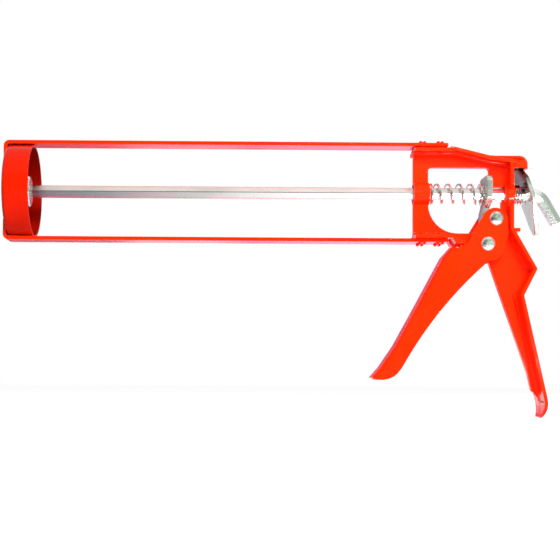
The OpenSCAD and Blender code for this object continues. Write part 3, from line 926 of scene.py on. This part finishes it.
def card(name, centre, turn, size, tones):
    """A reflector that only shows in the gloss of the gun; tones are (world X, colour)."""
    pick()
    bpy.ops.mesh.primitive_plane_add(
        size=1.0, location=centre, rotation=[math.radians(angle) for angle in turn]
    )
    piece = named(bpy.context.object, name)
    bpy.ops.transform.resize(value=(size[0], size[1], 1.0), orient_type="LOCAL")
    settled(piece)
    material = bpy.data.materials.new(name)
    material.use_nodes = True
    tree = material.node_tree
    tree.nodes.clear()
    out = tree.nodes.new("ShaderNodeOutputMaterial")
    glow = tree.nodes.new("ShaderNodeEmission")
    ramp = tree.nodes.new("ShaderNodeValToRGB")
    reach = tree.nodes.new("ShaderNodeMapRange")
    split = tree.nodes.new("ShaderNodeSeparateXYZ")
    place = tree.nodes.new("ShaderNodeTexCoord")
    peak = max(max(colour) for _, colour in tones)
    start, stop = tones[0][0], tones[-1][0]
    reach.inputs["From Min"].default_value = start
    reach.inputs["From Max"].default_value = stop
    for _ in tones[2:]:
        ramp.color_ramp.elements.new(0.5)
    for element, (along, colour) in zip(ramp.color_ramp.elements, tones):
        element.position = (along - start) / (stop - start)
        element.color = (*(v / peak for v in colour), 1.0)
    glow.inputs["Strength"].default_value = peak
    tree.links.new(place.outputs["Object"], split.inputs["Vector"])
    tree.links.new(split.outputs["X"], reach.inputs["Value"])
    tree.links.new(reach.outputs["Result"], ramp.inputs["Fac"])
    tree.links.new(ramp.outputs["Color"], glow.inputs["Color"])
    tree.links.new(glow.outputs["Emission"], out.inputs["Surface"])
    piece.data.materials.append(material)
    piece.visible_camera = False
    piece.visible_diffuse = False
    piece.visible_transmission = False
    piece.visible_volume_scatter = False
    piece.visible_shadow = False
    return piece


def reflectors(height, strip):
    """The cards round the gun; height is that of the cards on the floor."""
    # Under the gun, for the lower facets of the rod
    card("low_card", (0.15, -0.025, height), (0, 0, 0), (2.4, 1.25), (
        (0.0, (0.24, 0.24, 0.28)), (0.05, (0.38, 0.38, 0.43)), (0.105, (0.80, 0.76, 0.76)),
        (0.165, (1.12, 1.11, 1.13)), (0.22, (1.40, 1.40, 1.42)),
    ))
    # On the floor behind, for the underside of the top rail
    card("middle_card", (0.15, 0.71, height), (0, 0, 0), (2.4, 0.22), (
        (-0.10, (0.10, 0.08, 0.10)), (-0.01, (0.26, 0.22, 0.28)), (0.106, (0.65, 0.50, 0.76)),
        (0.226, (1.30, 0.95, 1.50)), (0.30, (1.60, 1.20, 1.75)),
    ))
    # Further back, for the underside of the bottom rail
    card("far_card", (0.15, 1.085, height), (0, 0, 0), (2.4, 0.53), (
        (-0.10, (1.00, 0.88, 1.12)), (-0.015, (1.20, 1.00, 1.30)), (0.10, (1.45, 1.15, 1.55)),
        (0.23, (1.60, 1.25, 1.80)),
    ))
    # Above, for the upper facets of the rod
    card("high_card", (0.15, 0.0, 0.90), (180, 0, 0), (2.6, 2.4), (
        (-0.12, (0.73, 0.755, 0.70)), (0.06, (0.84, 0.84, 0.78)), (0.35, (1.02, 1.04, 1.00)),
    ))
    # Before the rod, for the rivets, the dog's edge and the pull end
    card("front_card", (0.12, -0.19, 0.003), (90, 0, 0), (0.94, 0.258), (
        (0.0, (0.08, 0.13, 0.11)), (0.15, (0.12, 0.20, 0.17)), (0.19, (0.34, 0.17, 0.20)),
        (0.24, (0.30, 0.24, 0.24)), (0.265, (0.28, 0.34, 0.30)),
        (0.305, (0.56, 0.62, 0.56)), (0.5, (0.66, 0.72, 0.66)),
    ))
    # Three behind the gun, for the trigger's bend and the release plate
    card("back_card", (0.15, 0.90, 0.25), (90, 0, 0), (1.5, 0.32), (
        (-0.02, (0.40, 0.38, 0.38)), (0.065, (0.40, 0.37, 0.38)), (0.10, (0.32, 0.31, 0.31)),
        (0.15, (0.12, 0.06, 0.08)), (0.18, (0.72, 0.16, 0.27)),
    ))
    card("back_middle_card", (0.15, 0.90, 0.05), (90, 0, 0), (1.5, 0.08), (
        (-0.03, (0.10, 0.09, 0.10)), (0.01, (1.40, 1.32, 1.42)), (0.065, (1.20, 1.12, 1.20)),
        (0.10, (0.50, 0.48, 0.48)), (0.15, (0.12, 0.06, 0.08)), (0.18, (0.72, 0.16, 0.27)),
    ))
    card("back_foot_card", (0.15, 0.88, -0.0555), (90, 0, 0), (1.5, 0.131), (
        (-0.03, (0.06, 0.05, 0.06)), (0.01, (1.10, 1.05, 1.12)), (0.10, (1.10, 1.05, 1.12)),
        (0.15, (0.12, 0.06, 0.08)), (0.18, (0.80, 0.20, 0.34)),
    ))
    # Beside the foot of the release plate
    card("guard_card", (0.314, -0.02, -0.035), (90, 0, 0), (0.032, 0.05), (
        (0.29, (0.45, 0.52, 0.46)), (0.33, (0.40, 0.46, 0.41)),
    ))
    # In the window of the body, so that the rod doesn't show the flange
    card("window_card", (0.252, -0.0098, 0.0175), (180, 0, 0), (0.044, 0.012), (
        (0.22, (0.84, 0.81, 0.76)), (0.28, (0.84, 0.81, 0.76)),
    ))
    # Under the rod's pull end
    card("pull_card", (0.232, -0.095, -0.052), (90, 0, 0), (0.07, 0.07), (
        (0.19, (0.08, 0.14, 0.12)), (0.27, (0.10, 0.17, 0.15)),
    ))
    # Beyond the handle, for the right facet of the pull end
    card("side_card", (0.62, -0.05, 0.15), (90, 0, 90), (0.7, 0.5), (
        (0.0, (0.40, 0.48, 0.40)), (1.0, (0.40, 0.48, 0.40)),
    ))
    # Low in front, for the light on the rear guide
    card("low_strip", (0.298, -0.10, -0.092), (0, 0, 0), (0.045, 0.028), (
        (0.0, (strip,) * 3), (1.0, (strip,) * 3),
    ))


def seen(tree):
    """1 for rays from the camera and in reflections, 0 for the rest."""
    path = tree.nodes.new("ShaderNodeLightPath")
    last = path.outputs["Is Camera Ray"]
    for key in ("Is Glossy Ray", "Is Transmission Ray"):
        add = tree.nodes.new("ShaderNodeMath")
        add.operation = "MAXIMUM"
        tree.links.new(last, add.inputs[0])
        tree.links.new(path.outputs[key], add.inputs[1])
        last = add.outputs[0]
    return last


def floor_material():
    """White floor that keeps a faint shadow."""
    material = bpy.data.materials.new("studio_floor")
    material.use_nodes = True
    tree = material.node_tree
    tree.nodes.clear()
    out = tree.nodes.new("ShaderNodeOutputMaterial")
    plain = tree.nodes.new("ShaderNodeBsdfDiffuse")
    plain.inputs["Color"].default_value = (0.80, 0.80, 0.80, 1)
    thin = tree.nodes.new("ShaderNodeBsdfDiffuse")
    thin.inputs["Color"].default_value = (0.22, 0.22, 0.22, 1)
    glow = tree.nodes.new("ShaderNodeEmission")
    glow.inputs["Strength"].default_value = 0.94
    both = tree.nodes.new("ShaderNodeAddShader")
    tree.links.new(thin.outputs[0], both.inputs[0])
    tree.links.new(glow.outputs[0], both.inputs[1])
    mix = tree.nodes.new("ShaderNodeMixShader")
    tree.links.new(seen(tree), mix.inputs[0])
    tree.links.new(plain.outputs[0], mix.inputs[1])
    tree.links.new(both.outputs[0], mix.inputs[2])
    tree.links.new(mix.outputs[0], out.inputs["Surface"])
    return material


def studio_world(strength):
    """Even light from all round, white where it is seen."""
    world = bpy.data.worlds.new("studio_world")
    bpy.context.scene.world = world
    world.use_nodes = True
    tree = world.node_tree
    tree.nodes.clear()
    out = tree.nodes.new("ShaderNodeOutputWorld")
    even = tree.nodes.new("ShaderNodeBackground")
    place = tree.nodes.new("ShaderNodeTexCoord")
    split = tree.nodes.new("ShaderNodeSeparateXYZ")
    share = tree.nodes.new("ShaderNodeMapRange")
    for key, value in zip(
        ("From Min", "From Max", "To Min", "To Max"), (-1.0, 1.0, 0.4 * strength, 1.6 * strength)
    ):
        share.inputs[key].default_value = value
    tree.links.new(place.outputs["Generated"], split.inputs["Vector"])
    tree.links.new(split.outputs["X"], share.inputs["Value"])
    tree.links.new(share.outputs["Result"], even.inputs["Strength"])
    white = tree.nodes.new("ShaderNodeBackground")
    white.inputs["Strength"].default_value = 1.0
    for node in (even, white):
        node.inputs["Color"].default_value = (1, 1, 1, 1)
    mix = tree.nodes.new("ShaderNodeMixShader")
    tree.links.new(seen(tree), mix.inputs[0])
    tree.links.new(even.outputs[0], mix.inputs[1])
    tree.links.new(white.outputs[0], mix.inputs[2])
    tree.links.new(mix.outputs[0], out.inputs["Surface"])


PIECES = (
    GUN_OT_front_cap, GUN_OT_rails, GUN_OT_body_shells, GUN_OT_trigger, GUN_OT_rod,
    GUN_OT_piston, GUN_OT_springs, GUN_OT_plates, GUN_OT_rivets, GUN_OT_stage,
)


class GUN_PT_panel(bpy.types.Panel):
    bl_idname = "GUN_PT_panel"
    bl_label = "Caulking gun"
    bl_space_type = "VIEW_3D"
    bl_region_type = "UI"
    bl_category = "Caulking gun"

    def draw(self, context):
        layout = self.layout
        for group in ("gun_sizes", "gun_finish", "gun_stage"):
            box = layout.box()
            values = getattr(context.scene, group)
            for key in values.__annotations__:
                box.prop(values, key)
        for operator in PIECES:
            layout.operator(operator.bl_idname)


CLASSES = (GunSizes, GunFinish, GunStage, *PIECES, GUN_PT_panel)


def register():
    for cls in CLASSES:
        bpy.utils.register_class(cls)
    bpy.types.Scene.gun_sizes = bpy.props.PointerProperty(type=GunSizes)
    bpy.types.Scene.gun_finish = bpy.props.PointerProperty(type=GunFinish)
    bpy.types.Scene.gun_stage = bpy.props.PointerProperty(type=GunStage)


def unregister():
    del bpy.types.Scene.gun_stage
    del bpy.types.Scene.gun_finish
    del bpy.types.Scene.gun_sizes
    for cls in reversed(CLASSES):
        bpy.utils.unregister_class(cls)


def main():
    register()
    for operator in PIECES:
        group, name = operator.bl_idname.split(".")
        getattr(getattr(bpy.ops, group), name)()
    pick()


if __name__ == "__main__":
    main()
